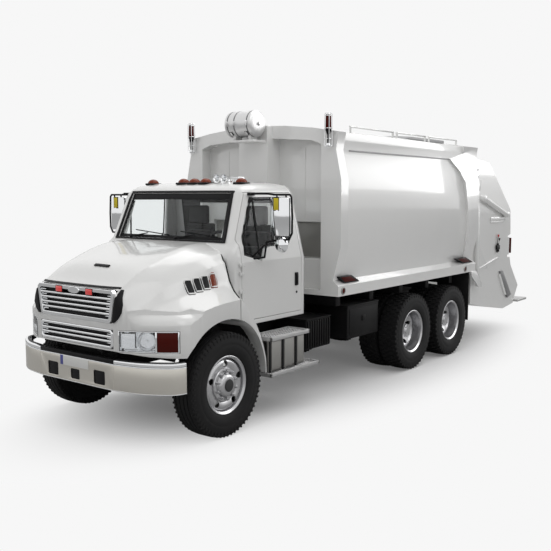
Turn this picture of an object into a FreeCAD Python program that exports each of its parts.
import FreeCAD, Part
import math
import os

# A rear loading refuse truck: three axles, a bonneted cab, a closed body and a tailgate hopper.
# Lengths are in millimetres. X is across (left side positive), Y runs back from the front axle
# line and Z is up from the ground. The finished pieces move so that the box is centred on Y.

# Clearances
seat = 0.3
run_gap = 6.0
pin_gap = 0.5
bore_gap = 0.05
cut_over = 40.0

# Wheels and axles
tyre_r = 533.0
tyre_w = 286.0
bead_r = 285.0
bead_half_w = 105.0
bead_lip = 5.0
tyre_wall = 28.0
widest_share = 0.78
shoulder_share = 0.93
tread_share = 0.8
rim_flange_r = 297.0
rim_wall = 12.0
rim_step = 20.0
front_wheel_x = 1047.0
front_hub_out = 60.0
front_cap_deep = 92.0
kingpin_x = 880.0
dual_x = 918.0
dual_space = 318.0
rear_cap_deep = 205.0
axle_2_y = 3900.0
axle_3_y = 5120.0
spindle_r = 38.0
hub_r = 128.0
hub_bore_r = spindle_r + pin_gap
cap_wall = 32.0
cap_bend_share = 0.8
cap_shoulder_share = 0.85
cap_face_share = 0.6
hand_hole_r = 28.0
hand_hole_pcr = 222.0
hand_holes = 8
hole_sides = 6
turn_sides = 24
axle_sides = 12
tube_sides = 10
arch_sides = 48
drum_r = 180.0
drum_wall = 14.0
front_drum_w = 120.0
rear_drum_w = 200.0
axle_tube_r = 70.0
axle_tube_in = 80.0
spindle_out = 160.0
front_spindle_out = 50.0
diff_r = 215.0
diff_shares = ((0.2, 1.0), (0.6, 0.82), (0.95, 0.5))
beam_half_y = 50.0
beam_h = 110.0
beam_drop = 120.0
beam_bend_share = 0.72
beam_end = 8.0
kingpin_r = 25.0
knuckle_arm = 55.0

# Frame
rail_out_x = 430.0
rail_flange = 85.0
rail_web = 10.0
rail_h = 270.0
frame_top = 1000.0
frame_front_y = -760.0
frame_rear_y = 5900.0
cross_y = (-640.0, 1750.0, 3100.0, 4510.0, 5780.0)
cross_w = 90.0
cross_h = 180.0
bearer_y = (2150.0, 2950.0, 3750.0, 4550.0, 5350.0, 5800.0)
bearer_w = 100.0
bearer_half = 1050.0
sub_rail_h = 70.0
sub_rail_y = 2110.0
sub_rail_w = 80.0

# Springs
spring_w = 80.0
spring_half = 640.0
leaf_shares = ((-1, 0.58), (-0.516, 0.2), (-0.14, 0), (0.14, 0), (0.516, 0.2), (1, 0.58), (1, 0.75),
               (0.516, 0.41), (0, 0.29), (-0.516, 0.41), (-1, 0.75))
shackle_y = 590.0
shackle_half = 50.0
beam_over = 120.0
walk_beam_t = 60.0
walk_beam_deep = 110.0
saddle_post_half = 90.0
post_sink = 20.0

# Engine
engine_half_x = 290.0
engine_y0 = -430.0
engine_y1 = 215.0
engine_z0 = 760.0
engine_z1 = 1540.0
engine_foot_y = -280.0
engine_foot_z = 820.0
engine_foot = 80.0

# Bumper
bumper_y = -954.0
bumper_flat_half = 568.0
bumper_half = 1200.0
bumper_end_y = -600.0
bumper_z0 = 570.0
bumper_z1 = 822.0
bumper_wall = 8.0
bumper_plan_shares = ((0.74, 0.93), (0.95, 0.77))
pad_z1 = 876.0
pad_depth = 58.0
pad_back = 4.0
slot_w = 165.0
slot_h = 135.0
slot_x = 360.0
slot_z = 672.0
mid_slot_w = 137.0
mid_slot_h = 102.0
mid_slot_x = -8.0
mid_slot_z = 656.0
plate_hole_r = 3.5
plate_pitch = 178.0
plate_x = -15.0
plate_z = 778.0

# Nose of the frame
nose_plate_t = 15.0
nose_plate_z0 = 640.0
nose_arm_w = 60.0
nose_arm_z0 = 740.0
nose_arm_z1 = 802.0
tow_x = 360.0
tow_y = -870.0
tow_z = 672.0
tow_w = 40.0
tow_half = 38.0
tow_bore_r = 19.0

# Hood with its fenders
hood_front_y = -940.0
hood_crest_y = 372.0
hood_side_x = 1192.0
hood_top_z = 1935.0
hood_wall = 30.0
hood_bottom_z = 890.0
hood_edge_z = 952.0
hood_skirt_z = 915.0
hood_lip = 2.0
hood_pin_y = -880.0
hood_pin_z = 925.0
hood_pin_x = 300.0
hood_pin_r = 16.0
hood_ear_w = 40.0
hood_ear_r = 28.0
hood_ear_in = 20.0
hood_ear_sink = 12.0
hood_mid_x = 900.0
skirt_end_share = 0.8
hood_arm_w = 24.0
hood_arm_low = 25.0
hood_arm_top = 20.0
arch_r = 667.0
arch_in_x = 560.0
arch_out_x = 1300.0
cowl_gap = 12.0
hood_station_shares = (-0.0457, 0.0686, 0.2210, 0.3735, 0.5640, 0.7546, 1.0213)
hood_height_shares = (
    (0.7752, 0.7742, 0.7674, 0.7390, 0.6718, 0.6279, 0.6150, 0.5943),
    (0.8140, 0.8124, 0.8010, 0.7649, 0.7028, 0.6563, 0.6382, 0.6047),
    (0.8915, 0.8879, 0.8641, 0.8114, 0.7494, 0.7080, 0.6770, 0.6305),
    (0.9251, 0.9225, 0.9080, 0.8579, 0.8010, 0.7494, 0.7158, 0.6667),
    (0.9509, 0.9535, 0.9535, 0.9096, 0.8475, 0.7752, 0.7390, 0.6951),
    (0.9716, 0.9767, 0.9845, 0.9406, 0.8837, 0.7907, 0.7519, 0.7080),
    (0.9974, 1.0000, 0.9948, 0.9612, 0.9096, 0.8269, 0.7597, 0.7132),
)
hood_width_shares = (
    (0, 0.2936, 0.4698, 0.5076, 0.5369, 0.5705, 0.7550, 0.9648),
    (0, 0.2936, 0.4908, 0.5453, 0.6040, 0.6711, 0.8263, 0.9748),
    (0, 0.2936, 0.5034, 0.5872, 0.6628, 0.7299, 0.8515, 0.9790),
    (0, 0.2936, 0.5117, 0.6292, 0.7257, 0.7928, 0.8767, 0.9849),
    (0, 0.2936, 0.5201, 0.6711, 0.7760, 0.8305, 0.8993, 0.9899),
    (0, 0.2936, 0.5034, 0.7005, 0.8096, 0.8574, 0.9128, 0.9933),
    (0, 0.2936, 0.4698, 0.7005, 0.8054, 0.8641, 0.9161, 0.9950),
)
hood_nose_shares = ((0, 0), (0.495, 0.006), (0.604, 0.047), (0.755, 0.114), (0.889, 0.194), (0.965, 0.271),
                    (1, 0.366), (1, 0.85))
hood_rear_shares = ((0.931, 0.861), (0.78, 0.877), (0.671, 0.945), (0.503, 1), (0, 1))

# Grilles and lamps at the nose
grille_half_top = 590.0
grille_half_low = 545.0
grille_z0 = 1215.0
grille_z1 = 1535.0
grille_corner = 10.0
grille_proud = 6.0
grille_frame = 34.0
grille_depth = 46.0
grille_bar = 24.0
grille_bars = 4
grille_deep = 200.0
mesh_t = 12.0
mesh_gap = 2.0
low_grille_half = 560.0
low_grille_z0 = 968.0
low_grille_z1 = 1158.0
low_grille_bars = 2
lamp_x0 = 622.0
lamp_x1 = 1130.0
lamp_split_x = 955.0
lamp_z0 = 948.0
lamp_z1 = 1160.0
lamp_depth = 60.0
lamp_in = 4.0
lamp_back_y = -470.0
lamp_split_half = 2.0

# Cab
cab_half = 1032.0
cab_front_y = 235.0
cab_rear_y = 1545.0
cab_floor_z = 1062.0
cab_roof_z = 2560.0
cab_wall = 42.0
cab_corner_r = 150.0
cab_back_r = 60.0
corner_steps = 3
cab_level_shares = (
    (0, 0, 1, 1), (0.443, 0, 1, 1), (0.486, 0, 0.991, 0.993), (0.549, 0.042, 0.977, 0.983),
    (0.583, 0.088, 0.97, 0.978), (0.92, 0.237, 0.897, 0.925), (0.957, 0.28, 0.889, 0.895),
    (0.98, 0.33, 0.878, 0.853), (1, 0.431, 0.821, 0.717),
)
roof_level_share = 0.95
cab_foot_y = (460.0, 1380.0)
cab_foot_w = 80.0
cab_belt_z = 1725.0
fender_out_x = 1130.0
fender_shares = ((0.3, 1.262), (0.397, 1.18), (0.564, 1.021), (0.711, 0.844), (0.834, 0.652), (0.925, 0.471),
                 (1.014, 0.223), (1.031, 0.0))

# Doors
door_y0 = 392.0
door_y1 = 1455.0
door_z0 = 1108.0
door_z1 = 2455.0
door_in_x = 740.0
door_gap = 6.0
door_wall = 42.0
door_shares = ((0, 0.135), (0, 0.64), (0.185, 1), (0.883, 1), (1, 0.458), (1, 0), (0.13, 0))
window_shares = ((0.05, 0.514), (0.05, 0.655), (0.215, 0.963), (0.822, 0.963), (0.836, 0.621),
                 (0.793, 0.566), (0.478, 0.566), (0.374, 0.551), (0.323, 0.458))
hinge_out = 16.0
hinge_back = 2.0
hinge_r = 13.0
hinge_pin_r = 7.0
hinge_h = 70.0
hinge_leaf = 43.0
hinge_pin_share = 0.9
hinge_ring_share = 0.5
hinge_low_share = 0.4
hinge_sink = 2.0
hinge_zs = (1380.0, 1660.0)

# Glass
glass_t = 6.0
glass_in = 14.0
windshield_half_low = 815.0
windshield_half_top = 760.0
windshield_z0 = 1945.0
windshield_z1 = 2445.0
rear_window_half = 640.0
rear_window_z0 = 1830.0
rear_window_z1 = 2330.0

# Mirrors
mirror_x0 = 1160.0
mirror_x1 = 1440.0
mirror_y0 = 690.0
mirror_y1 = 770.0
mirror_z0 = 1985.0
mirror_z1 = 2410.0
mirror_tube_r = 12.0
mirror_arm_z = 2440.0
mirror_arm_x = 990.0
mirror_arm_y = 640.0
mirror_foot_y = 560.0
mirror_foot_z = 1752.0
mirror_bend_x = 1130.0
mirror_bend_y = 700.0
mirror_bend_z = 1770.0
spot_mirror_r = 95.0
spot_mirror_t = 60.0
spot_mirror_z = 1900.0

# Inside the cab
dash_half = 900.0
dash_y0 = 300.0
dash_y1 = 640.0
dash_z0 = 1500.0
dash_z1 = 1900.0
dash_lip = 60.0
dash_slope_y = 470.0
wheel_x = 460.0
column_y0 = 520.0
column_z0 = 1680.0
wheel_y = 800.0
wheel_z = 1830.0
column_r = 28.0
wheel_r = 215.0
wheel_grip_r = 16.0
grip_shares = ((-1, 0), (-0.5, 0.87), (0.5, 0.87), (1, 0), (0.5, -0.87), (-0.5, -0.87))
column_angle = 28.2
wheel_hub_r = 60.0
wheel_hub_t = 36.0
spoke_r = 12.0
seat_half = 250.0
seat_y0 = 900.0
seat_y1 = 1330.0
seat_z = 1330.0
back_top_z = 2010.0
back_half = 240.0
back_shares = ((0.79, 0), (1.12, 0), (1.26, 1), (1.0, 1))

# Steps and side boxes
step_out_x = 1190.0
step_in_x = 880.0
step_y0 = 692.0
step_y1 = 1405.0
step_top_z = 912.0
step_low_z = 520.0
step_low_y1 = 1600.0
step_t = 46.0
step_panel = 20.0
step_back = 10.0
step_post = 34.0
step_post_deep = 60.0
step_post_shares = (0.0, 0.36, 0.82)
hanger_y = (780.0, 1290.0)
hanger_w = 60.0
hanger_z0 = 760.0
hanger_z1 = 840.0
box_in_x = 520.0
box_rows = ((1620.0, 2130.0, 600.0, 968.0, 1000.0), (2356.0, 3110.0, 630.0, 1055.0, 1100.0))
box_arm_w = 100.0
box_arm_in = 60.0
box_arm_z = 800.0
box_arm_sink = 5.0

# Lamps and horns on the cab roof
marker_rows = ((0.0, 790.0), (173.0, 790.0), (-173.0, 790.0), (692.0, 800.0), (-692.0, 800.0))
marker_half = 55.0
marker_front = 30.0
marker_back = 50.0
marker_h = 22.0
marker_sink = 60.0
horn_x = (350.0, 455.0)
horn_y0 = 770.0
horn_y1 = 1120.0
horn_bell = 120.0
horn_bell_r = 52.0
horn_pipe_r = 20.0
horn_h = 62.0
horn_foot_y = 1040.0
horn_foot_w = 50.0
horn_foot_half = 15.0

# Refuse body
body_front_y = 1949.0
body_rear_y = 5956.0
body_floor_z = 1222.0
body_floor_t = 80.0
body_wall = 30.0
rail_out = 1215.0
rail_top_z = 1348.0
ledge_x = 1126.0
ledge_z = 1407.0
crown_z = 3285.0
body_shares = ((0, 1), (0.3457, 0.9927), (0.6749, 0.9724), (0.9588, 0.9418), (0.9671, 0.8909),
               (0.944, 0.8425), (0.9811, 0.7261), (0.9975, 0.571), (0.9926, 0.3383), (0.9564, 0.1638),
               (0.9267, 0.08968), (0.9267, 0))
ring_shares = ((0, 1), (0.3457, 0.9927), (0.6749, 0.9724), (0.9918, 0.9418), (0.9621, 0.8425),
               (1.026, 0.668), (1.026, 0.285), (0.935, 0.08968), (1, 0.06108), (1, 0))
front_hole_shares = ((0, 0.9297), (0.6749, 0.9006), (0.7901, 0.8764), (0.7901, 0.02908), (0, 0.02908))
front_recess_y = 2107.0
band_z0 = 1650.0
band_z1 = 2100.0
band_deep = 60.0
band_half = 900.0
ring_side_shares = ((0.442, 1.002), (0.442, 0.891), (0, 0.8425), (0.29, 0.76), (0.441, 0.6805), (0.572, 0.474),
                    (0.638, 0.118), (0.658, 0), (1, 0), (1, 1.002))
ring_y0 = 5031.0
side_reach = 2000.0
rail_back = 336.0
column_half = 226.0
column_front_y = 1846.0
column_drop = 10.0

# Ejector blade inside the body
blade_y = 2330.0
blade_t = 60.0
blade_gap = 18.0
blade_floor_gap = 12.0
blade_shoe_x = 480.0
blade_shoe_w = 80.0
blade_shoe_h = 120.0
blade_shoe_len = 180.0

# Fittings on top of the body
tank_r = 160.0
tank_half = 225.0
tank_y = 1680.0
tank_z = 3290.0
tank_x = 10.0
tank_foot_x = 120.0
tank_foot_half = 20.0
tank_foot_y = 60.0
tank_foot_h = 60.0
tank_nub_r = 26.0
tank_nub_len = 26.0
beacon_x = 1099.0
beacon_y = 1890.0
beacon_z0 = 2975.0
beacon_z1 = 3385.0
beacon_r = 52.0
beacon_lamp_z = 3170.0
beacon_stalk_half = 25.0
beacon_stalk_h = 40.0
beacon_post_half = 18.0
hoop_h = 70.0
hoop_r = 14.0
hoop_x = 1080.0
hoop_base_z = 3184.0
hoop_sink = 40.0
hoop_spans = ((2400.0, 3450.0), (3560.0, 4378.0), (4503.0, 5414.0))
cover_y0 = 4420.0
cover_y1 = 5560.0
cover_t = 42.0
cover_half = 815.0
cover_slope = 320.0

# Lamps and flaps on the body's lower edge
side_lamp_y = (2290.0, 5560.0)
side_lamp_z0 = 1372.0
side_lamp_z1 = 1455.0
side_lamp_x0 = 1150.0
side_lamp_x1 = 1200.0
side_lamp_len = 160.0
side_lamp_shares = ((-0.94, 0), (0.375, 0), (1, 0.157), (-0.125, 1))
round_lamp_r = 34.0
round_lamp_t = 14.0
round_lamp_y = (2056.0, 5900.0)
round_lamp_z = 1286.0
flap_x0 = 660.0
flap_x1 = 1200.0
flap_y = 5745.0
flap_t = 10.0
flap_z0 = 455.0

# Hinges of the tailgate
gate_pin_y = 5990.0
gate_pin_z = 3120.0
gate_pin_x = 900.0
gate_pin_r = 16.0
gate_ear_w = 60.0
gate_ear_r = 28.0
gate_lug_t = 30.0
gate_lug_low = 35.0
gate_lug_top = 85.0

# Tailgate hopper
gate_half = 1125.0
gate_wall = 60.0
gate_front_y = 5985.0
gate_top_z = 3020.0
gate_low_z = 440.0
sill_y = 8104.0
gate_skin = 40.0
gate_shares = ((0, 1), (0.3091, 0.9729), (0.4743, 0.8686), (0.7315, 0.7035), (0.7791, 0.6694),
               (0.7966, 0.505), (0.7362, 0.4922), (0.7362, 0.35), (0.7909, 0.3469), (0.8197, 0.2899),
               (1, 0.1372), (0.9363, 0.0713), (0.8952, 0.0182), (0.6678, 0), (0.2454, 0.0523), (0, 0.093))
roof_count = 5
tub_first = 10
ear_sink = 20.0
post_x1 = 1150.0
post_shares = ((0.537, 0.2465), (0.575, 0.2465), (0.72, 0.0926), (0.682, 0.0926))
lever_y = 7040.0
lever_z0 = 1520.0
lever_z1 = 1760.0
lever_pitch = 34.0
lever_r = 7.0
lever_box_h = 40.0
lever_count = 2
tube_y0 = 6340.0
tube_z0 = 2370.0
tube_y1 = 7350.0
tube_z1 = 2090.0
tube_r = 45.0
tube_x = 1172.0
tube_foot_r = 30.0
tail_lamp_t = 90.0
tail_lamp_z0 = 1380.0
tail_lamp_z1 = 1690.0
tail_lamp_x0 = 1030.0
tail_lamp_x1 = 1120.0

# Rear step
step_rear_y = 8400.0
tail_step_y0 = 7950.0
tail_step_z = 545.0
tail_step_t = 40.0
tail_step_half = 1190.0
tail_arm_x = 900.0
tail_arm_half = 30.0
tail_arm_y0 = 7650.0
tail_arm_y1 = 8040.0
tail_arm_z1 = 660.0

# Packer inside the tailgate
packer_half = gate_half - gate_wall - run_gap
slide_angle = 42.0
panel_pivot_y = 6700.0
panel_pivot_z = 1750.0
panel_len = 740.0
panel_t = 36.0
panel_tube_r = 55.0
panel_pin_r = 28.0
carriage_len = 860.0
carriage_t = 36.0
carriage_start = 90.0
shoe_len = 150.0
shoe_in = 4.0
shoe_low = 160.0
slide_ear_w = 40.0
slide_ear_half = 60.0
slide_ear_low = 40.0
slide_ear_in = 10.0
slide_ear_out = 80.0
eye_wall = 5.0

# Tailgate lift cylinders
lift_x = 1172.0
lift_low_y = 6150.0
lift_low_z = 985.0
lift_top_y = 6020.0
lift_top_z = 2770.0
lift_barrel_r = 38.0
lift_rod_r = 22.0
lift_pin_r = 18.0
lift_eye_r = 38.0
lift_eye_half = 22.0
lift_barrel_share = 0.72
lift_barrel_in = 32.0
lift_bore_in = 80.0
lift_rod_in = 160.0
lift_plate_t = 14.0
lift_plate_y0 = 5790.0
lift_plate_z0 = 1150.0
lift_plate_z1 = 945.0
lift_plate_y1 = 45.0
lift_plate_back = 60.0
lift_plate_top = 30.0
lift_foot_x = 1140.0
lift_foot_y1 = 5940.0
lift_foot_z = 1180.0


def vec(x, y, z):
    return FreeCAD.Vector(x, y, z)


def block(x0, x1, y0, y1, z0, z1):
    """Box between two corners."""
    return Part.makeBox(x1 - x0, y1 - y0, z1 - z0, vec(x0, y0, z0))


def side_block(side, x0, x1, y0, y1, z0, z1):
    """Box whose X limits are given for the left side."""
    return block(min(side * x0, side * x1), max(side * x0, side * x1), y0, y1, z0, z1)


def face_of(points):
    return Part.Face(Part.makePolygon(points + [points[0]]))


def pushed(face, way):
    solid = face.extrude(way)
    if solid.Volume < 0:
        solid.reverse()
    return solid


def prism_x(outline, x0, x1):
    """Outline of (y, z) points pushed along X."""
    return pushed(face_of([vec(x0, y, z) for y, z in outline]), vec(x1 - x0, 0, 0))


def prism_y(outline, y0, y1):
    """Outline of (x, z) points pushed along Y."""
    return pushed(face_of([vec(x, y0, z) for x, z in outline]), vec(0, y1 - y0, 0))


def prism_z(outline, z0, z1):
    """Outline of (x, y) points pushed along Z."""
    return pushed(face_of([vec(x, y, z0) for x, y in outline]), vec(0, 0, z1 - z0))


def rod(start, end, radius):
    along = end.sub(start)
    return Part.makeCylinder(radius, along.Length, start, along)


def cross_rod(x0, x1, y, z, radius):
    """Rod along X."""
    return rod(vec(x0, y, z), vec(x1, y, z), radius)


def tube(start, end, start_r, end_r=None):
    """Tube, bell or bar with flat sides from start to end."""
    along = end.sub(start)
    level = vec(1, 0, 0) if abs(along.z) > along.Length / 2 else vec(0, 0, 1)
    first = along.cross(level)
    first.normalize()
    second = along.cross(first)
    second.normalize()
    rings = []
    for at, radius in ((start, start_r), (end, end_r or start_r)):
        turns = [2 * math.pi * side / tube_sides for side in range(tube_sides)]
        rings.append([at + first * (radius * math.cos(turn)) + second * (radius * math.sin(turn))
                      for turn in turns])
    return stacked(rings)


def across(shape):
    """The same piece on the other side of the truck."""
    return shape.mirror(vec(0, 0, 0), vec(1, 0, 0))


def both(shape):
    return [shape, across(shape)]


def spread(shares, u0, u1, v0, v1):
    """Outline points from a table of shares of the box between two corners."""
    return [(u0 + (u1 - u0) * u, v0 + (v1 - v0) * v) for u, v in shares]


def two_sided(half_outline):
    """A closed outline from the points of its positive half, in (x, other) pairs."""
    back = [(-x, other) for x, other in reversed(half_outline) if x > 0]
    return half_outline + back


def turned(profile, x, y, z, sides=turn_sides):
    """Profile of (offset along X, radius) points turned in flats about a line along X.

    The radii are those of the circle inside the flats, one of which faces straight down.
    """
    step = 2 * math.pi / sides
    grow = 1 / math.cos(step / 2)
    faces = []
    count = len(profile)
    rings = []
    for side in range(sides):
        angle = (side + 0.5) * step
        rings.append([vec(x + along, y + radius * grow * math.sin(angle), z - radius * grow * math.cos(angle))
                      for along, radius in profile])
    for side in range(sides):
        here, there = rings[side - 1], rings[side]
        for i in range(count):
            j = (i + 1) % count
            if profile[i][1] == 0 and profile[j][1] == 0:
                continue
            corners = [here[i], here[j]]
            if profile[j][1]:
                corners.append(there[j])
            if profile[i][1]:
                corners.append(there[i])
            faces.append(face_of(corners))
    solid = Part.Solid(Part.Shell(faces))
    if solid.Volume < 0:
        solid.reverse()
    return solid


def fused(shapes):
    whole = shapes[0]
    for shape in shapes[1:]:
        whole = whole.fuse(shape)
    return whole.removeSplitter()


def stacked(rings, split=False):
    """Solid with flat sides between rings of points; split halves each side on its diagonal."""
    faces = [face_of(rings[0]), face_of(rings[-1])]
    count = len(rings[0])
    for low, high in zip(rings, rings[1:]):
        for i in range(count):
            j = (i + 1) % count
            if not split:
                faces.append(face_of([low[i], low[j], high[j], high[i]]))
            elif low[i].x + low[j].x > 0:
                faces += [face_of([low[i], low[j], high[j]]), face_of([low[i], high[j], high[i]])]
            else:
                faces += [face_of([low[i], low[j], high[i]]), face_of([low[j], high[j], high[i]])]
    solid = Part.Solid(Part.Shell(faces))
    if solid.Volume < 0:
        solid.reverse()
    return solid


def band(points, depth):
    """Closed outline of a strip laid by depth on the right of a line of points."""
    moved = []
    for i, (u, v) in enumerate(points):
        before = points[max(i - 1, 0)]
        after = points[min(i + 1, len(points) - 1)]
        length = math.hypot(after[0] - before[0], after[1] - before[1])
        moved.append((u + (after[1] - before[1]) / length * depth,
                      v - (after[0] - before[0]) / length * depth))
    return points + moved[::-1]


# Wheels

def tyre(x, y):
    half = tyre_w / 2
    outer = [(bead_half_w, bead_r), (half, tyre_r * widest_share),
             (half * shoulder_share, tyre_r - tyre_wall), (half * tread_share, tyre_r)]
    inner = [(half - tyre_wall, tyre_r - 2 * tyre_wall), (bead_half_w - tyre_wall, bead_r)]
    profile = outer + [(-along, radius) for along, radius in reversed(outer)]
    profile += [(-along, radius) for along, radius in reversed(inner)] + inner
    return turned(profile, x, y, tyre_r)


def rim_points(mid):
    """Outside of one rim from its inner end to its outer end, about a middle offset."""
    out_r = bead_r - seat
    flange = bead_half_w + seat
    edge = flange + rim_wall
    return [(mid - edge, out_r - rim_wall), (mid - edge, rim_flange_r), (mid - flange, out_r),
            (mid + flange, out_r), (mid + edge, rim_flange_r), (mid + edge, out_r - rim_wall)]


def cap_points(deep):
    """Hub's closed outer end and the bore for the spindle."""
    return [(deep * cap_bend_share, hub_r * cap_shoulder_share), (deep, hub_r * cap_face_share), (deep, 0),
            (deep - cap_wall, 0), (deep - cap_wall, spindle_r)]


def drum_points(web, end, width):
    """Brake drum that opens towards the middle of the truck, from its web to its outer end."""
    return [(web, spindle_r), (end - drum_wall, drum_r - drum_wall), (-width, drum_r - drum_wall),
            (-width, drum_r), (end, drum_r)]


def with_hand_holes(wheel, x0, x1, y):
    """Ring of hand holes cut through the discs between x0 and x1."""
    for number in range(hand_holes):
        turn = 2 * math.pi * number / hand_holes
        centre_y = y + hand_hole_pcr * math.cos(turn)
        centre_z = tyre_r + hand_hole_pcr * math.sin(turn)
        corners = [2 * math.pi * side / hole_sides for side in range(hole_sides)]
        outline = [(centre_y + hand_hole_r * math.cos(angle), centre_z + hand_hole_r * math.sin(angle))
                   for angle in corners]
        wheel = wheel.cut(prism_x(outline, x0, x1))
    return wheel


def bored(wheel, x, deep, y):
    """Wheel with the round bore of its hub, open towards the middle of the truck."""
    return wheel.cut(cross_rod(x - rear_drum_w, x + deep - cap_wall, y, tyre_r, hub_bore_r))


def front_wheel():
    """Left front wheel: rim, disc, hub and brake drum from one profile."""
    in_r = bead_r - seat - rim_wall
    edge = bead_half_w - rim_step - front_hub_out
    profile = [(along - front_hub_out, radius) for along, radius in rim_points(0)]
    profile += [(edge + rim_wall, in_r), (rim_wall, hub_r)] + cap_points(front_cap_deep)
    profile += drum_points(-drum_wall, 0, front_drum_w) + [(edge, in_r)]
    x = front_wheel_x + front_hub_out
    wheel = bored(turned(profile, x, 0, tyre_r), x, front_cap_deep, 0)
    return with_hand_holes(wheel, x - drum_wall / 2, x + edge + rim_wall, 0)


def rear_wheel(y):
    """Left twin wheel: two rims, two discs, the hub and the brake drum from one profile."""
    in_r = bead_r - seat - rim_wall
    mid = dual_space / 2
    edge = mid - bead_half_w + rim_step
    profile = rim_points(-mid) + [(-edge, in_r), (0, hub_r + rim_wall), (edge, in_r)] + rim_points(mid)
    profile += [(edge + rim_wall, in_r), (rim_wall, hub_r)] + cap_points(rear_cap_deep)
    lean = (drum_r - hub_r - rim_wall) / (in_r - hub_r - rim_wall)
    profile += drum_points(-rim_wall - drum_wall, -rim_wall - edge * lean, rear_drum_w)
    profile += [(-edge - rim_wall, in_r)]
    wheel = bored(turned(profile, dual_x, y, tyre_r), dual_x, rear_cap_deep, y)
    return with_hand_holes(wheel, dual_x - edge - rim_wall, dual_x + edge + rim_wall, y)


def twin_tyres(y):
    return [tyre(dual_x + dual_space / 2, y), tyre(dual_x - dual_space / 2, y)]


# Axles, frame and engine

def knuckle():
    """Left steering knuckle: kingpin, two ears and the spindle."""
    gap = beam_h / 2 + pin_gap
    reach = gap + knuckle_arm
    x0 = kingpin_x - knuckle_arm
    x1 = kingpin_x + knuckle_arm
    upper = block(x0, x1, -knuckle_arm, knuckle_arm, tyre_r + gap, tyre_r + reach)
    lower = block(x0, x1, -knuckle_arm, knuckle_arm, tyre_r - reach, tyre_r - gap)
    pin = rod(vec(kingpin_x, 0, tyre_r - reach), vec(kingpin_x, 0, tyre_r + reach), kingpin_r)
    plate = block(x1 - rim_wall, x1 + rim_wall, -knuckle_arm, knuckle_arm, tyre_r - reach, tyre_r + reach)
    spindle = cross_rod(x1, front_wheel_x + front_hub_out + front_spindle_out, 0, tyre_r, spindle_r)
    return fused([upper, lower, pin, plate, spindle])


def front_beam():
    """Front axle beam, dropped between the springs, with its kingpin bores."""
    eye_r = knuckle_arm - rim_wall - run_gap
    end_x = kingpin_x + beam_end
    bend_x = kingpin_x * beam_bend_share
    half_h = beam_h / 2
    half = [(rail_out_x - half_h, tyre_r - half_h - beam_drop), (bend_x - half_h, tyre_r - half_h),
            (end_x, tyre_r - half_h), (end_x, tyre_r + half_h), (bend_x, tyre_r + half_h),
            (rail_out_x, tyre_r + half_h - beam_drop)]
    beam = prism_y(two_sided(half), -beam_half_y, beam_half_y)
    for side in (1, -1):
        x = side * kingpin_x
        eye = rod(vec(x, 0, tyre_r - half_h), vec(x, 0, tyre_r + half_h), eye_r)
        bore = rod(vec(x, 0, 0), vec(x, 0, 2 * tyre_r), kingpin_r + bore_gap)
        beam = beam.fuse(eye).cut(bore)
    return beam


def rear_axle(y):
    """Drive axle housing with its round centre and the spindles at both ends."""
    tube_end = dual_x - dual_space / 2 - axle_tube_in
    end = dual_x + spindle_out
    half = [(diff_r * along, diff_r * radius) for along, radius in diff_shares]
    half += [(diff_r + axle_tube_in, axle_tube_r), (tube_end, axle_tube_r), (tube_end, 0)]
    housing = turned(two_sided(half), 0, y, tyre_r, axle_sides)
    return fused([housing, cross_rod(tube_end, end, y, tyre_r, spindle_r),
                  cross_rod(-end, -tube_end, y, tyre_r, spindle_r)])


def frame():
    """Two channel rails and the crossmembers between them."""
    low = frame_top - rail_h
    in_x = rail_out_x - rail_flange
    web_x = rail_out_x - rail_web
    outline = [(in_x, frame_top), (rail_out_x, frame_top), (rail_out_x, low), (in_x, low),
               (in_x, low + rail_web), (web_x, low + rail_web), (web_x, frame_top - rail_web),
               (in_x, frame_top - rail_web)]
    pieces = both(prism_y(outline, frame_front_y, frame_rear_y))
    cross_z = frame_top - rail_h / 2 - cross_h / 2
    for y in cross_y:
        pieces.append(block(-web_x, web_x, y - cross_w / 2, y + cross_w / 2, cross_z, cross_z + cross_h))
    return fused(pieces)


def nose_brackets():
    """Plate across the rails' front ends, the bumper's arms, the tow eyes and the hood's hinge pins."""
    front = bumper_y + bumper_wall + seat
    plate_y = frame_front_y - seat
    face_y = plate_y - nose_plate_t
    pieces = [block(-rail_out_x, rail_out_x, face_y, plate_y, nose_plate_z0, frame_top)]
    arm_x = rail_out_x - rail_flange / 2
    pin_x = hood_pin_x + hood_ear_w + hood_arm_w
    for side in (1, -1):
        pieces.append(side_block(side, arm_x - nose_arm_w / 2, arm_x + nose_arm_w / 2, front, face_y,
                                 nose_arm_z0, nose_arm_z1))
        pieces.append(side_block(side, pin_x - hood_arm_w, pin_x, hood_pin_y - hood_arm_low, face_y,
                                 hood_pin_z - hood_arm_low, hood_pin_z + hood_arm_top))
        pieces.append(cross_rod(side * (hood_pin_x - hood_ear_w / 2 - run_gap), side * pin_x, hood_pin_y,
                                hood_pin_z, hood_pin_r))
        eye = side_block(side, tow_x - tow_half, tow_x + tow_half, tow_y, face_y, tow_z - tow_w / 2,
                         tow_z + tow_w / 2)
        low = vec(side * tow_x, tow_y, tow_z - tow_w / 2)
        high = vec(side * tow_x, tow_y, tow_z + tow_w / 2)
        pieces.append(eye.fuse(rod(low, high, tow_half)))
    whole = fused(pieces)
    for side in (1, -1):
        low = vec(side * tow_x, tow_y, tow_z - tow_w)
        whole = whole.cut(rod(low, vec(side * tow_x, tow_y, tow_z + tow_w), tow_bore_r))
    return whole


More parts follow.
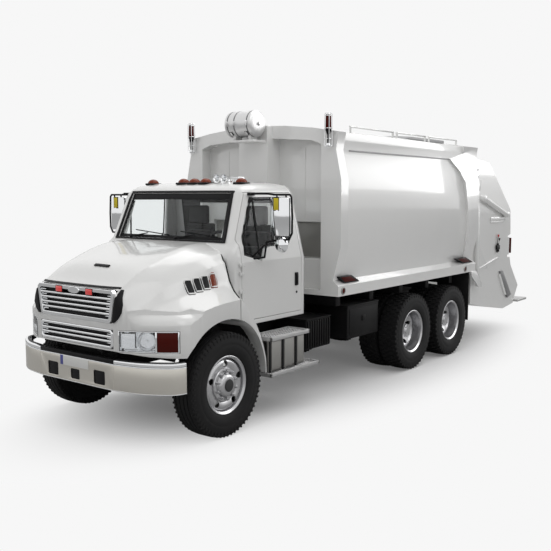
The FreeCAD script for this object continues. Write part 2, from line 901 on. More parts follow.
def bearers():
    """Cross bearers between the frame and the body floor, on their two long packers."""
    sub_top = frame_top + sub_rail_h
    pieces = []
    for y in bearer_y:
        pieces.append(block(-bearer_half, bearer_half, y, y + bearer_w, sub_top, body_floor_z - seat))
    mid_x = rail_out_x - rail_flange / 2
    for side in (1, -1):
        pieces.append(side_block(side, mid_x - sub_rail_w / 2, mid_x + sub_rail_w / 2, sub_rail_y,
                                 frame_rear_y, frame_top + seat, sub_top))
    return fused(pieces)


def springs():
    """Arched leaf packs over the front axle and walking beams under the rear pair."""
    low = frame_top - rail_h - seat
    x0 = rail_out_x - spring_w
    base = tyre_r + beam_h / 2 - beam_drop + seat
    leaf = prism_x(spread(leaf_shares, 0, spring_half, base, low), x0, rail_out_x)
    ends = [block(x0, rail_out_x, side * shackle_y - shackle_half, side * shackle_y + shackle_half,
                  base + (low - base) / 2, low) for side in (1, -1)]
    top = tyre_r - axle_tube_r - seat
    mid = (axle_2_y + axle_3_y) / 2
    front = axle_2_y - beam_over
    rear = axle_3_y + beam_over
    beam = prism_x([(front, top), (rear, top), (rear, top - walk_beam_t), (mid, top - walk_beam_deep),
                    (front, top - walk_beam_t)], x0, rail_out_x)
    foot = saddle_post_half
    post = prism_x([(mid - foot, top - post_sink), (mid + foot, top - post_sink), (mid + 2 * foot, low),
                    (mid - 2 * foot, low)], x0, rail_out_x)
    return both(fused([leaf] + ends)) + both(fused([beam, post]))


def engine():
    """Engine block with the feet that stand in the frame rails."""
    body = block(-engine_half_x, engine_half_x, engine_y0, engine_y1, engine_z0, engine_z1)
    reach = rail_out_x - rail_web - seat
    foot = block(-reach, reach, engine_foot_y, engine_foot_y + engine_foot, engine_foot_z,
                 engine_foot_z + engine_foot)
    return fused([body, foot])


# Bumper

def bumper_plan(out):
    """Plan outline of the bumper's face, moved out by a depth."""
    front = [(0, bumper_y - out), (bumper_flat_half, bumper_y - out)]
    wing = [(bumper_half * x + out, bumper_y * y - out) for x, y in bumper_plan_shares]
    return two_sided(front + wing + [(bumper_half + out, bumper_end_y)])


def bumper():
    """Curved face bar with three openings and the pad along its top."""
    outer = prism_z(bumper_plan(0), bumper_z0, bumper_z1)
    bar = outer.cut(prism_z(bumper_plan(-bumper_wall), bumper_z0 - cut_over, bumper_z1 + cut_over))
    for x, z, width, height in ((-slot_x, slot_z, slot_w, slot_h), (slot_x, slot_z, slot_w, slot_h),
                                (mid_slot_x, mid_slot_z, mid_slot_w, mid_slot_h)):
        bar = bar.cut(block(x - width / 2, x + width / 2, bumper_y - cut_over, bumper_y + cut_over,
                            z - height / 2, z + height / 2))
    for step in (1, -1):
        x = plate_x + step * plate_pitch / 2
        hole = rod(vec(x, bumper_y - cut_over, plate_z), vec(x, bumper_y + cut_over, plate_z), plate_hole_r)
        bar = bar.cut(hole)
    pad = prism_z(bumper_plan(-pad_back), bumper_z1 + seat, pad_z1)
    return [bar, pad.cut(prism_z(bumper_plan(-pad_depth), bumper_z1 - cut_over, pad_z1 + cut_over))]


# Hood

def hood_section(y, height_shares, width_shares, depth):
    half = [(hood_side_x * width, hood_top_z * height) for width, height in zip(width_shares, height_shares)]
    half.append((hood_side_x, hood_bottom_z))
    keep = 1 - depth / hood_side_x
    points = [(x * keep, z - depth if z > hood_bottom_z else z) for x, z in two_sided(half)]
    return [vec(x, y, z) for x, z in points]


def hood_form(depth):
    """Solid of the hood's outer form, with its skin moved in by depth."""
    length = hood_crest_y - hood_front_y
    rings = []
    for station, heights, widths in zip(hood_station_shares, hood_height_shares, hood_width_shares):
        rings.append(hood_section(hood_front_y + length * station, heights, widths, depth))
    form = stacked(rings, True)
    half = hood_side_x - depth
    front = hood_front_y + depth
    plan = [(min(x, half), y) for x, y in spread(hood_nose_shares, 0, hood_side_x, front, front + length)]
    if depth:
        plan += [(half, hood_crest_y + cut_over), (0, hood_crest_y + cut_over)]
    else:
        plan += spread(hood_rear_shares, 0, hood_side_x, hood_front_y, hood_crest_y)
    return form.common(prism_z(two_sided(plan), hood_bottom_z - cut_over, cab_roof_z))


def wheel_arches(radius):
    turns = [2 * math.pi * side / arch_sides for side in range(arch_sides)]
    outline = [(radius * math.cos(turn), tyre_r + radius * math.sin(turn)) for turn in turns]
    return both(prism_x(outline, arch_in_x, arch_out_x))


def hood_ear():
    """Left hinge ear under the hood's front edge."""
    x0 = hood_pin_x - hood_ear_w / 2
    x1 = hood_pin_x + hood_ear_w / 2
    ear = block(x0, x1, hood_front_y + hood_ear_in, hood_pin_y + hood_ear_r, hood_edge_z,
                hood_edge_z + hood_ear_sink)
    drop = block(x0, x1, hood_pin_y - hood_ear_r, hood_pin_y + hood_ear_r, hood_pin_z, hood_edge_z)
    eye = cross_rod(x0, x1, hood_pin_y, hood_pin_z, hood_ear_r)
    hole = cross_rod(x0 - cut_over, x1 + cut_over, hood_pin_y, hood_pin_z, hood_pin_r + pin_gap)
    return ear.fuse(drop).fuse(eye).cut(hole)


def hood():
    """Tilting hood shell with its fenders, arches and the openings for grilles and lamps."""
    shell = hood_form(0).cut(hood_form(hood_wall))
    nose = hood_front_y - cut_over
    low = hood_bottom_z - cut_over
    out_x = hood_side_x + cut_over
    shell = shell.cut(block(-out_x, out_x, nose, hood_crest_y + cut_over, low, hood_bottom_z + hood_lip))
    for arch in wheel_arches(arch_r):
        shell = shell.cut(arch)
    upper = [(0, grille_z1), (grille_half_top, grille_z1 - grille_corner), (grille_half_low, grille_z0),
             (0, grille_z0)]
    shell = shell.cut(prism_y(two_sided(upper), nose, nose + grille_deep))
    shell = shell.cut(block(-low_grille_half, low_grille_half, nose, nose + grille_deep, low_grille_z0,
                            low_grille_z1))
    for lamp in both(lamp_opening(0)):
        shell = shell.cut(lamp)
    skirt = [(0, low), (0, hood_edge_z), (grille_half_top, hood_edge_z), (hood_mid_x, hood_skirt_z),
             (out_x, hood_bottom_z), (out_x, low)]
    for half in both(prism_y(skirt, nose, -arch_r * skirt_end_share)):
        shell = shell.cut(half)
    for ear in both(hood_ear()):
        shell = shell.fuse(ear)
    return shell.cut(cab_form(-cowl_gap))


def lamp_opening(clear):
    return block(lamp_x0 + clear, lamp_x1 - clear, hood_front_y - cut_over, lamp_back_y, lamp_z0 + clear,
                 lamp_z1 - clear)


def front_lamps():
    """Head and turn lamp lenses that close the openings beside the lower grille."""
    unit = hood_form(lamp_in).cut(hood_form(lamp_in + lamp_depth)).common(lamp_opening(seat))
    unit = unit.cut(block(lamp_split_x - lamp_split_half, lamp_split_x + lamp_split_half,
                          hood_front_y - cut_over, 0, lamp_z0, lamp_z1))
    return unit.Solids + across(unit).Solids


def grille_outline(half_top, half_low, z0, z1, inset):
    """Half outline of a grille opening, drawn in by inset."""
    return [(0, z1 - inset), (half_top - inset, z1 - grille_corner - inset), (half_low - inset, z0 + inset),
            (0, z0 + inset)]


def grille_at(half_top, half_low, z0, z1, bars):
    """Bright surround with its level bars."""
    y0 = hood_front_y - grille_proud
    y1 = y0 + grille_depth
    t = grille_frame
    outer = prism_y(two_sided(grille_outline(half_top, half_low, z0, z1, seat)), y0, y1)
    hole = prism_y(two_sided(grille_outline(half_top, half_low, z0, z1, t)), y0 - cut_over, y1 + cut_over)
    pieces = [outer.cut(hole)]
    pitch = (z1 - z0 - 2 * t) / (bars + 1)
    for number in range(bars):
        mid = z0 + t + pitch * (number + 1)
        strip = block(-half_top, half_top, y0, y0 + grille_bar, mid - grille_bar / 2, mid + grille_bar / 2)
        pieces.append(outer.common(strip))
    return fused(pieces)


def grilles():
    return [grille_at(grille_half_top, grille_half_low, grille_z0, grille_z1, grille_bars),
            grille_at(low_grille_half, low_grille_half, low_grille_z0, low_grille_z1, low_grille_bars)]


def grille_backing():
    """Dark meshes behind both grilles."""
    y0 = hood_front_y - grille_proud + grille_depth + seat
    upper = grille_outline(grille_half_top, grille_half_low, grille_z0, grille_z1, mesh_gap)
    lower = grille_outline(low_grille_half, low_grille_half, low_grille_z0, low_grille_z1, mesh_gap)
    return [prism_y(two_sided(half), y0, y0 + mesh_t) for half in (upper, lower)]


# Cab

def arc_points(x, y, radius, start):
    """Points of a quarter circle about (x, y), from a start angle in degrees."""
    angles = [math.radians(start + 90 * step / corner_steps) for step in range(corner_steps + 1)]
    return [(x + radius * math.cos(angle), y + radius * math.sin(angle)) for angle in angles]


def cab_form(depth):
    """Outer form of the cab with every face moved in by depth."""
    height = cab_roof_z - cab_floor_z
    length = cab_rear_y - cab_front_y
    front_r = cab_corner_r - depth
    back_r = cab_back_r - depth
    rings = []
    for level, front_share, rear_share, half_share in cab_level_shares:
        half = cab_half * half_share - depth
        front = cab_front_y + length * front_share + depth
        rear = cab_front_y + length * rear_share - depth
        z = cab_floor_z + height * level
        if level > roof_level_share:
            z -= depth
        elif level == 0:
            z += depth
        plan = arc_points(half - front_r, front + front_r, front_r, -90)
        plan += arc_points(half - back_r, rear - back_r, back_r, 0)
        plan += [(-x, y) for x, y in reversed(plan)]
        rings.append([vec(x, y, z) for x, y in plan])
    return stacked(rings)


def door_outline(clear):
    """Side outline of the door opening as (y, z), with its slanted lower front corner."""
    return spread(door_shares, door_y0 + clear, door_y1 - clear, door_z0 + clear, door_z1 - clear)


def door_window(clear):
    """Window outline of the door, drawn in by clear at its outermost corners."""
    points = spread(window_shares, door_y0, door_y1, door_z0, door_z1)
    mid_y = (points[0][0] + points[3][0]) / 2
    mid_z = (points[-1][1] + points[2][1]) / 2
    shrink = 1 - clear / (points[3][0] - mid_y)
    return [(mid_y + (y - mid_y) * shrink, mid_z + (z - mid_z) * shrink) for y, z in points]


def windshield_opening(clear):
    half = [(0, windshield_z0 + clear), (windshield_half_low - clear, windshield_z0 + clear),
            (windshield_half_top - clear, windshield_z1 - clear), (0, windshield_z1 - clear)]
    return prism_y(two_sided(half), 0, (cab_front_y + cab_rear_y) / 2)


def rear_window_opening(clear):
    return block(-rear_window_half + clear, rear_window_half - clear, (cab_front_y + cab_rear_y) / 2,
                 cab_rear_y + cut_over, rear_window_z0 + clear, rear_window_z1 - clear)


def quarter_fender():
    """Left strip that carries the fender's line from the hood down to the steps."""
    outline = [(arch_r * y, tyre_r + arch_r * z) for y, z in fender_shares]
    start_y = outline[0][0]
    low_z = outline[-1][1]
    solid = prism_x(outline + [(start_y, low_z)], cab_half - cab_wall, hood_side_x)
    end_y = outline[-1][0]
    plan = prism_z([(cab_half - cab_wall, start_y), (hood_side_x, start_y), (fender_out_x, end_y),
                    (cab_half - cab_wall, end_y)], low_z, cab_belt_z)
    return solid.common(plan).cut(wheel_arches(arch_r)[0])


def hinge_fixed(z):
    """Left door hinge half on the cab pillar, with its pin."""
    x = cab_half + hinge_out
    y = door_y0 + hinge_back
    reach = hinge_h * hinge_pin_share
    length = hinge_h * hinge_ring_share
    pieces = [rod(vec(x, y, z - reach), vec(x, y, z + reach), hinge_pin_r)]
    for low in (z - reach, z + hinge_h * hinge_low_share):
        pieces.append(rod(vec(x, y, low), vec(x, y, low + length), hinge_r))
        pieces.append(block(cab_half - hinge_sink, x, y - hinge_leaf, y, low, low + length))
    return fused(pieces)


def hinge_moving(z):
    """Left door hinge half on the door."""
    x = cab_half + hinge_out
    y = door_y0 + hinge_back
    half = hinge_h * hinge_low_share - seat
    ring = rod(vec(x, y, z - half), vec(x, y, z + half), hinge_r)
    leaf = block(cab_half - hinge_sink, x, y + run_gap, y + hinge_leaf, z - half, z + half)
    hole = rod(vec(x, y, z - hinge_h), vec(x, y, z + hinge_h), hinge_pin_r + pin_gap)
    return ring.fuse(leaf).cut(hole)


def cab_shell():
    """Hollow cab with its wheel houses, door and window openings, feet and quarter fenders."""
    outer = cab_form(0)
    inner = cab_form(cab_wall)
    for arch in wheel_arches(arch_r):
        outer = outer.cut(arch)
    for arch in wheel_arches(arch_r + cab_wall):
        inner = inner.cut(arch)
    shell = outer.cut(inner)
    for opening in both(prism_x(door_outline(0), door_in_x, cab_half + cut_over)):
        shell = shell.cut(opening)
    shell = shell.cut(windshield_opening(0)).cut(rear_window_opening(0))
    extra = both(quarter_fender())
    for y in cab_foot_y:
        extra += both(block(rail_out_x - rail_flange, rail_out_x, y, y + cab_foot_w, frame_top + seat,
                            cab_floor_z + cab_wall / 2))
    for z in hinge_zs:
        extra += both(hinge_fixed(z))
    return fused([shell] + extra)


def glass_layer():
    return cab_form(glass_in).cut(cab_form(glass_in + glass_t))


def cab_glass():
    layer = glass_layer()
    return [layer.common(windshield_opening(seat)), layer.common(rear_window_opening(seat))]


def door():
    layer = cab_form(0).cut(cab_form(door_wall))
    panel = layer.common(prism_x(door_outline(door_gap), door_in_x, cab_half + cut_over))
    panel = panel.cut(prism_x(door_window(0), door_in_x - cut_over, cab_half + 2 * cut_over))
    return fused([panel] + [hinge_moving(z) for z in hinge_zs])


def door_glass():
    return glass_layer().common(prism_x(door_window(seat), door_in_x, cab_half + cut_over))


def mirror():
    """Left mirror: head, round lower mirror and the two tube arms."""
    mid_x = (mirror_x0 + mirror_x1) / 2
    mid_y = (mirror_y0 + mirror_y1) / 2
    head = block(mirror_x0, mirror_x1, mirror_y0, mirror_y1, mirror_z0, mirror_z1)
    spot_y = mirror_y0 + bead_lip
    spot = tube(vec(mid_x, spot_y, spot_mirror_z), vec(mid_x, spot_y + spot_mirror_t, spot_mirror_z),
                spot_mirror_r)
    elbow = vec(mid_x, mid_y, mirror_arm_z)
    top_arm = tube(vec(mirror_arm_x, mirror_arm_y, mirror_arm_z), elbow, mirror_tube_r)
    stub = tube(vec(mid_x, mid_y, mirror_z1 - mirror_tube_r), elbow, mirror_tube_r)
    foot = vec(cab_half + seat, mirror_foot_y, mirror_foot_z)
    bend = vec(mirror_bend_x, mirror_bend_y, mirror_bend_z)
    low_arm = tube(foot, bend, mirror_tube_r)
    rise = tube(bend, vec(mirror_x0 + bead_lip, mid_y, mirror_z0 + mirror_tube_r), mirror_tube_r)
    return fused([head, spot, top_arm, stub, low_arm, rise]).cut(cab_form(-seat))


def cab_steps():
    """Left pair of tread boards with their posts and the panel behind them."""
    low = step_low_z - step_back
    high = step_top_z - step_back
    pieces = [block(step_in_x, step_out_x, step_y0, step_y1, step_top_z - step_t, step_top_z),
              block(step_in_x, step_out_x, step_y0, step_low_y1, step_low_z - step_t, step_low_z),
              block(step_in_x, step_in_x + step_panel, step_y0, step_y1, low, high)]
    for share in step_post_shares:
        y = step_y0 + (step_y1 - step_y0) * share
        pieces.append(block(step_in_x + step_back, step_in_x + step_post_deep, y, y + step_post, low, high))
    for y in hanger_y:
        pieces.append(block(rail_out_x + seat, step_in_x + step_back, y, y + hanger_w, hanger_z0, hanger_z1))
    return both(fused(pieces))


def side_boxes():
    """Air tank case and tool case on each side, with the arms that hold them to the rails."""
    pieces = []
    for y0, y1, z0, z1, x1 in box_rows:
        group = [block(box_in_x, x1, y0, y1, z0, z1)]
        for y in (y0 + box_arm_in, y1 - box_arm_in - box_arm_w):
            group.append(block(rail_out_x + seat, box_in_x + box_arm_sink, y, y + box_arm_w, box_arm_z,
                               box_arm_z + box_arm_w))
        pieces += both(fused(group))
    return pieces


def roof_fixtures():
    """Five marker lamps and the two trumpets of the air horn."""
    roof = cab_form(-seat)
    pieces = []
    for x, y in marker_rows:
        lamp = block(x - marker_half, x + marker_half, y - marker_front, y + marker_back,
                     cab_roof_z - marker_sink, cab_roof_z + marker_h)
        pieces.append(lamp.cut(roof))
    z = cab_roof_z + horn_h
    for x in horn_x:
        bell = tube(vec(x, horn_y0, z), vec(x, horn_y0 + horn_bell, z), horn_bell_r, horn_pipe_r)
        pipe = tube(vec(x, horn_y0 + horn_bell, z), vec(x, horn_y1, z), horn_pipe_r)
        foot = block(x - horn_foot_half, x + horn_foot_half, horn_foot_y, horn_foot_y + horn_foot_w,
                     cab_roof_z - marker_sink, z)
        pieces.append(fused([bell, pipe, foot]).cut(roof))
    return pieces


def cab_inside():
    """Dashboard, steering column and wheel."""
    inner = cab_form(cab_wall + seat)
    for arch in wheel_arches(arch_r + cab_wall + seat):
        inner = inner.cut(arch)
    dash = block(-dash_half, dash_half, dash_y0, dash_y1, dash_z0, dash_z1).common(inner)
    dash = dash.cut(prism_x([(dash_y1, dash_z0), (dash_y1 + dash_lip, dash_z0),
                             (dash_y1 + dash_lip, dash_z1 + dash_lip), (dash_slope_y, dash_z1 + dash_lip)],
                            -cab_half, cab_half))
    low = vec(wheel_x, column_y0, column_z0)
    centre = vec(wheel_x, wheel_y, wheel_z)
    along = centre - low
    along.normalize()
    column = tube(low, centre, column_r)
    grip = [(wheel_grip_r * x, wheel_r + wheel_grip_r * r) for x, r in grip_shares]
    ring = turned(grip, 0, 0, 0)
    ring.rotate(vec(0, 0, 0), vec(0, 0, 1), 90)
    ring.rotate(vec(0, 0, 0), vec(1, 0, 0), column_angle)
    ring.translate(centre)
    hub = tube(centre - along * wheel_hub_t, centre + along * wheel_grip_r, wheel_hub_r)
    spokes = tube(vec(wheel_x - wheel_r, wheel_y, wheel_z), vec(wheel_x + wheel_r, wheel_y, wheel_z), spoke_r)
    return fused([dash, column, ring, hub, spokes])


def seats():
    pieces = []
    for x in (wheel_x, -wheel_x):
        pieces.append(block(x - seat_half, x + seat_half, seat_y0, seat_y1, cab_floor_z + cab_wall + seat,
                            seat_z))
        outline = spread(back_shares, seat_y0, seat_y1, seat_z + seat, back_top_z)
        pieces.append(prism_x(outline, x - back_half, x + back_half))
    return pieces


# Refuse body

def body_points(shares):
    return spread(shares, 0, rail_out, body_floor_z, crown_z)


def body_form(depth, y0, y1):
    """Body's section pushed from y0 to y1, with its skin moved in by depth."""
    half = body_points(body_shares)
    if depth > 0:
        half = [(max(0, x - depth), z - depth) for x, z in half[:-1]]
        half.append((ledge_x - depth, body_floor_z + body_floor_t))
    elif depth < 0:
        half = [(x - depth if x else 0, z - depth) for x, z in half[:-1]] + [(ledge_x - depth, half[-1][1])]
    return prism_y(two_sided(half), y0, y1)


def front_pocket(clear):
    """Deeper band across the front wall, on both sides of the column."""
    return block(-band_half - clear, band_half + clear, front_recess_y - cut_over,
                 front_recess_y + band_deep + clear, band_z0 - clear, band_z1 + clear)


def container():
    outer = body_form(0, front_recess_y, body_rear_y).cut(front_pocket(0))
    inner = body_form(body_wall, front_recess_y + body_wall, body_rear_y + cut_over)
    inner = inner.cut(front_pocket(body_wall))
    return outer.cut(inner)


def front_frame():
    """Front posts and beam with the column in the middle."""
    rear = front_recess_y - seat
    ring = prism_y(two_sided(body_points(ring_shares)), body_front_y, rear)
    hole = prism_y(two_sided(body_points(front_hole_shares)), body_front_y - cut_over, rear + cut_over)
    column = block(-column_half, column_half, column_front_y, rear, body_floor_z, crown_z - column_drop)
    return fused([ring.cut(hole), column])


def rear_ring():
    side = spread(ring_side_shares, ring_y0, body_rear_y, body_floor_z, crown_z)
    across_form = prism_y(two_sided(body_points(ring_shares)), body_front_y, body_rear_y)
    solid = prism_x(side, -side_reach, side_reach).common(across_form)
    core = body_form(-seat, body_front_y, body_rear_y + cut_over)
    drop = block(-ledge_x - seat, ledge_x + seat, body_front_y, body_rear_y + cut_over,
                 body_floor_z - cut_over, body_floor_z + body_floor_t)
    return solid.cut(core).cut(drop)


def bottom_rails():
    outline = [(ledge_x + seat, ledge_z), (rail_out, rail_top_z), (rail_out, body_floor_z),
               (ledge_x + seat, body_floor_z)]
    return both(prism_y(outline, front_recess_y, body_rear_y - rail_back))


def lift_foot():
    """Left plate and pin that the tailgate's lift cylinder stands on."""
    x0 = lift_x + lift_barrel_r + run_gap
    x1 = x0 + lift_plate_t
    top = body_floor_z - seat
    rear = lift_low_y + lift_plate_y1
    plate = prism_x([(lift_plate_y0, top), (body_rear_y, top), (rear, lift_low_z + lift_plate_top),
                     (rear, lift_plate_z1), (lift_low_y - lift_plate_back, lift_plate_z1),
                     (lift_plate_y0, lift_plate_z0)], x0, x1)
    foot = block(lift_foot_x, x1, lift_plate_y0, lift_foot_y1, lift_foot_z, top)
    pin = cross_rod(lift_x - lift_eye_half, x0 + lift_plate_t / 2, lift_low_y, lift_low_z, lift_pin_r)
    return fused([plate, foot, pin])


def gate_hinge():
    """Left pair of lugs with the pin that the tailgate hangs on."""
    reach = gate_ear_w / 2 + run_gap
    pieces = []
    for x0 in (gate_pin_x - reach - gate_lug_t, gate_pin_x + reach):
        pieces.append(block(x0, x0 + gate_lug_t, body_rear_y + seat, gate_pin_y + gate_ear_r,
                            gate_pin_z - gate_lug_low, gate_pin_z + gate_lug_top))
    end = reach + gate_lug_t
    pieces.append(cross_rod(gate_pin_x - end, gate_pin_x + end, gate_pin_y, gate_pin_z, gate_pin_r))
    return fused(pieces)


def ejector():
    """Push plate inside the body, on two long shoes."""
    floor = body_floor_z + body_floor_t
    half = [(max(0, x - blade_gap), z - blade_gap)
            for x, z in ((max(0, x - body_wall), z - body_wall) for x, z in body_points(body_shares)[:-1])]
    half.append((ledge_x - body_wall - blade_gap, floor + blade_floor_gap))
    plate = prism_y(two_sided(half), blade_y, blade_y + blade_t)
    shoe = block(blade_shoe_x, blade_shoe_x + blade_shoe_w, blade_y - blade_shoe_len, blade_y + blade_t,
                 floor + seat, floor + blade_shoe_h)
    return fused([plate] + both(shoe))


def drum_tank():
    """Air tank on top of the front column, with its drain nub and feet."""
    tank = turned([(-tank_half, 0), (-tank_half, tank_r), (tank_half, tank_r), (tank_half, tank_nub_r),
                   (tank_half + tank_nub_len, tank_nub_r), (tank_half + tank_nub_len, 0)],
                  tank_x, tank_y, tank_z)
    feet = []
    for side in (1, -1):
        x = tank_x + side * tank_foot_x
        feet.append(block(x - tank_foot_half, x + tank_foot_half, tank_y - tank_foot_y, column_front_y - seat,
                          tank_z - tank_r - tank_foot_h, tank_z - tank_r + tank_foot_h))
    return fused([tank] + feet)


def beacon():
    """Left beacon on its stalk in front of the post."""
    x = beacon_x
    stalk = block(x - beacon_stalk_half, x + beacon_stalk_half, beacon_y - beacon_post_half,
                  body_front_y - seat, beacon_z0, beacon_z0 + beacon_stalk_h)
    post = block(x - beacon_post_half, x + beacon_post_half, beacon_y - beacon_post_half,
                 beacon_y + beacon_post_half, beacon_z0, beacon_lamp_z)
    lamp = tube(vec(x, beacon_y, beacon_lamp_z), vec(x, beacon_y, beacon_z1), beacon_r)
    return fused([stalk, post, lamp])


def roof_hoops():
    """Low hand rails along both roof edges."""
    body = body_form(-seat, front_recess_y, body_rear_y)
    top = hoop_base_z + hoop_h
    pieces = []
    for y0, y1 in hoop_spans:
        legs = [tube(vec(hoop_x, y, hoop_base_z - hoop_sink), vec(hoop_x, y, top), hoop_r) for y in (y0, y1)]
        bar = tube(vec(hoop_x, y0 - hoop_r, top), vec(hoop_x, y1 + hoop_r, top), hoop_r)
        pieces += both(fused(legs + [bar]).cut(body))
    return pieces


def roof_cover():
    """Raised dark cover over the rear half of the roof."""
    top = crown_z + cover_t
    side = prism_x([(cover_y0, ledge_z), (cover_y0, crown_z - cover_t), (cover_y0 + cover_slope, top),
                    (cover_y1, top), (cover_y1, ledge_z)], -cover_half, cover_half)
    raised = body_form(0, cover_y0, cover_y1)
    raised.translate(vec(0, 0, cover_t))
    base = body_form(0, cover_y0 - cut_over, cover_y1 + cut_over)
    base.translate(vec(0, 0, seat))
    return side.common(raised).cut(base)


def side_lamps():
    """Wedge lamps and round lamps along the bottom rails."""
    rail = bottom_rails()[0]
    ring = rear_ring()
    pieces = []
    for y in side_lamp_y:
        outline = spread(side_lamp_shares, y, y + side_lamp_len, side_lamp_z0, side_lamp_z1)
        pieces += both(prism_x(outline, side_lamp_x0, side_lamp_x1).cut(rail).cut(ring))
    for y in round_lamp_y:
        pieces += both(tube(vec(rail_out + seat, y, round_lamp_z),
                            vec(rail_out + seat + round_lamp_t, y, round_lamp_z), round_lamp_r))
    return pieces


def mud_flaps():
    return both(block(flap_x0, flap_x1, flap_y, flap_y + flap_t, flap_z0, body_floor_z - seat))


# Tailgate

def gate_points(shares):
    return spread(shares, gate_front_y, sill_y, gate_low_z, gate_top_z)


def tailgate():
    """Hollow tailgate with its tub, hinge ears and the tubes outside its walls."""
    inner = gate_half - gate_wall
    points = gate_points(gate_shares)
    sides = both(prism_x(points, inner, gate_half))
    roof = prism_x(band(points[:roof_count + 1], gate_skin), -inner, inner)
    tub = prism_x(band(points[tub_first:], gate_skin), -inner, inner)
    extra = []
    for x in (gate_pin_x, -gate_pin_x):
        x0 = x - gate_ear_w / 2
        x1 = x + gate_ear_w / 2
        bar = block(x0, x1, gate_pin_y - gate_ear_r, gate_pin_y + gate_ear_r,
                    gate_top_z - ear_sink, gate_pin_z)
        eye = cross_rod(x0, x1, gate_pin_y, gate_pin_z, gate_ear_r)
        hole = cross_rod(x0 - cut_over, x1 + cut_over, gate_pin_y, gate_pin_z, gate_pin_r + pin_gap)
        extra.append(bar.fuse(eye).cut(hole))
    ends = ((tube_y0, tube_z0), (tube_y1, tube_z1))
    pieces = [tube(vec(tube_x, tube_y0, tube_z0), vec(tube_x, tube_y1, tube_z1), tube_r)]
    for y, z in ends:
        pieces.append(tube(vec(gate_half - seat, y, z), vec(tube_x, y, z), tube_foot_r))
    extra += both(fused(pieces))
    return fused(sides + [roof, tub] + extra)


def gate_fittings():
    """Slanted corner posts, the control levers in their box and the rear lamp housings."""
    pieces = both(prism_x(gate_points(post_shares), gate_half + seat, post_x1))
    box = block(gate_half + seat, post_x1, lever_y - lever_pitch, lever_y + lever_pitch * lever_count,
                lever_z0, lever_z0 + lever_box_h)
    group = [box]
    mid_x = (gate_half + post_x1) / 2
    for number in range(lever_count):
        y = lever_y + lever_pitch * number
        foot = vec(mid_x, y, lever_z0 + lever_box_h)
        group.append(tube(foot, vec(mid_x, y + lever_pitch, lever_z1), lever_r))
    pieces.append(fused(group))
    notch_y = gate_points(gate_shares)[roof_count + 1][0]
    pieces += both(block(tail_lamp_x0, tail_lamp_x1, notch_y + seat, notch_y + tail_lamp_t, tail_lamp_z0,
                         tail_lamp_z1))
    return pieces


def tail_step():
    """Board behind the tub with the arms under it."""
    low = tail_step_z - tail_step_t
    gate = prism_x(gate_points(gate_shares), -gate_half, gate_half)
    pieces = [block(-tail_step_half, tail_step_half, tail_step_y0, step_rear_y, low, tail_step_z)]
    for x in (-tail_arm_x, 0, tail_arm_x):
        pieces.append(block(x - tail_arm_half, x + tail_arm_half, tail_arm_y0, tail_arm_y1, low,
                            tail_arm_z1).cut(gate))
    return fused(pieces)


def slide_dir():
    angle = math.radians(slide_angle)
    return vec(0, math.cos(angle), -math.sin(angle))


def packer_carriage():
    """Plate that slides down the hopper's sides, with the ears that hold the packer panel."""
    pivot = vec(0, panel_pivot_y, panel_pivot_z)
    along = slide_dir()
    out = vec(0, -along.z, along.y)
    top = pivot - along * (carriage_len + carriage_start)
    low = pivot - along * carriage_start

    def slab(start, length, lift, half):
        corners = [start + out * lift, start + along * length + out * lift,
                   start + along * length + out * (carriage_t - lift), start + out * (carriage_t - lift)]
        return prism_x([(p.y, p.z) for p in corners], -half, half)

    wall = gate_half - gate_wall - pin_gap
    pieces = [slab(top, carriage_len, 0, packer_half), slab(top, shoe_len, shoe_in, wall),
              slab(low - along * shoe_low, shoe_len, shoe_in, wall)]
    bar = [pivot + out * slide_ear_half, pivot - out * slide_ear_half,
           low - along * slide_ear_low - out * slide_ear_in, low - along * slide_ear_low + out * slide_ear_out]
    for side in (1, -1):
        x0 = min(side * packer_half, side * (packer_half - slide_ear_w))
        x1 = x0 + slide_ear_w
        ear = prism_x([(p.y, p.z) for p in bar], x0, x1)
        eye = cross_rod(x0, x1, pivot.y, pivot.z, panel_tube_r + eye_wall)
        hole = cross_rod(x0 - eye_wall, x1 + eye_wall, pivot.y, pivot.z, panel_pin_r + pin_gap)
        pieces.append(ear.fuse(eye).cut(hole))
    return fused(pieces)


def packer_panel():
    """Sweeping blade on its tube, with the pins that turn in the carriage's ears."""
    y, z = panel_pivot_y, panel_pivot_z
    tube_half = packer_half - slide_ear_w - run_gap
    pin_half = packer_half - pin_gap
    plate = block(-tube_half, tube_half, y - panel_t / 2, y + panel_t / 2, z - panel_len, z)
    return fused([cross_rod(-tube_half, tube_half, y, z, panel_tube_r),
                  cross_rod(-pin_half, pin_half, y, z, panel_pin_r), plate])


def lift_line():
    low = vec(lift_x, lift_low_y, lift_low_z)
    top = vec(lift_x, lift_top_y, lift_top_z)
    along = top - low
    length = along.Length
    along.normalize()
    return low, top, along, length


def lift_barrel():
    """Left lift cylinder's barrel, with its eye and the bore for the rod."""
    low, top, along, length = lift_line()
    end = length * lift_barrel_share
    tube = rod(low + along * lift_barrel_in, low + along * end, lift_barrel_r)
    bore = rod(low + along * lift_bore_in, low + along * (end + cut_over), lift_rod_r + pin_gap)
    eye = cross_rod(lift_x - lift_eye_half, lift_x + lift_eye_half, low.y, low.z, lift_eye_r)
    hole = cross_rod(lift_x - cut_over, lift_x + cut_over, low.y, low.z, lift_pin_r + pin_gap)
    return tube.cut(bore).fuse(eye).cut(hole)


def lift_rod():
    """Rod with its eye and the pin stub that points at the tailgate's side."""
    low, top, along, length = lift_line()
    tube = rod(low + along * lift_rod_in, top, lift_rod_r)
    eye = cross_rod(lift_x - lift_eye_half, lift_x + lift_eye_half, top.y, top.z, lift_eye_r)
    stub = cross_rod(gate_half + run_gap, lift_x, top.y, top.z, lift_pin_r)
    return fused([tube, eye, stub])


centre_shift = -(bumper_y + step_rear_y) / 2


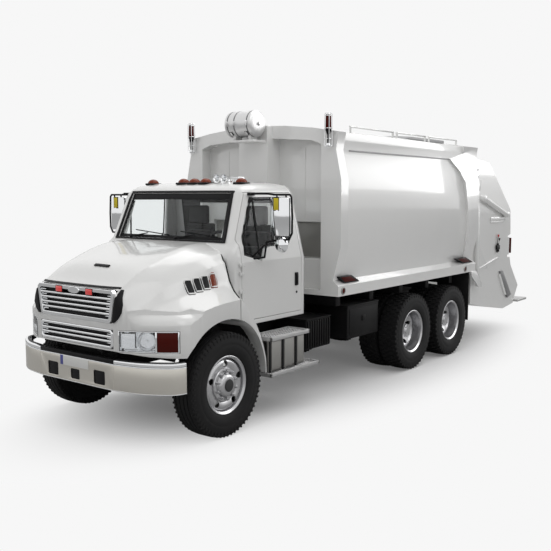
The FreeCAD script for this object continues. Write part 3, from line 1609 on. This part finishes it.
def export(name, solids):
    if not isinstance(solids, list):
        solids = [solids]
    single = []
    for shape in solids:
        single += shape.Solids
    shape = single[0] if len(single) == 1 else Part.makeCompound(single)
    shape = shape.copy()
    shape.translate(vec(0, centre_shift, 0))
    shape.exportStep("parts/" + name + ".step")


def export_chassis():
    export("frame", [frame(), nose_brackets(), bearers()])
    export("springs", springs())
    export("axles", [front_beam(), rear_axle(axle_2_y), rear_axle(axle_3_y)])
    export("engine", engine())
    export("bumper", bumper())
    export("cab_shell", cab_shell())
    export("cab_glass", cab_glass())
    export("cab_inside", cab_inside())
    export("seats", seats())
    export("cab_steps", cab_steps())
    export("side_boxes", side_boxes())
    export("roof_fixtures", roof_fixtures())


def export_body():
    export("container", container())
    export("body_frame", [front_frame(), rear_ring()] + bottom_rails())
    export("gate_hinges", both(gate_hinge()) + both(lift_foot()))
    export("ejector_blade", ejector())
    export("drum_tank", drum_tank())
    export("beacons", both(beacon()))
    export("roof_rails", roof_hoops())
    export("roof_cover", roof_cover())
    export("side_lamps", side_lamps())
    export("mud_flaps", mud_flaps())
    export("tailgate", tailgate())
    export("gate_fittings", gate_fittings())
    export("tail_step", tail_step())
    export("packer_carriage", packer_carriage())
    export("packer_panel", packer_panel())


def export_hood():
    export("hood", hood())
    export("grilles", grilles())
    export("grille_mesh", grille_backing())
    export("front_lamps", front_lamps())


def export_pair(name, shape):
    """Export the left piece and its twin on the right."""
    solids = shape if isinstance(shape, list) else [shape]
    export(name + "_left", solids)
    export(name + "_right", [across(solid) for solid in solids])


def export_pairs():
    export_pair("knuckle", knuckle())
    export_pair("front_tyre", tyre(front_wheel_x, 0))
    export_pair("front_wheel", front_wheel())
    for number, y in ((2, axle_2_y), (3, axle_3_y)):
        export_pair("tyres_%d" % number, twin_tyres(y))
        export_pair("wheels_%d" % number, rear_wheel(y))
    export_pair("door", door())
    export_pair("door_glass", door_glass())
    export_pair("mirror", mirror())
    export_pair("lift_barrel", lift_barrel())
    export_pair("lift_rod", lift_rod())


def main():
    os.makedirs("parts", exist_ok=True)
    export_chassis()
    export_body()
    export_hood()
    export_pairs()


main()
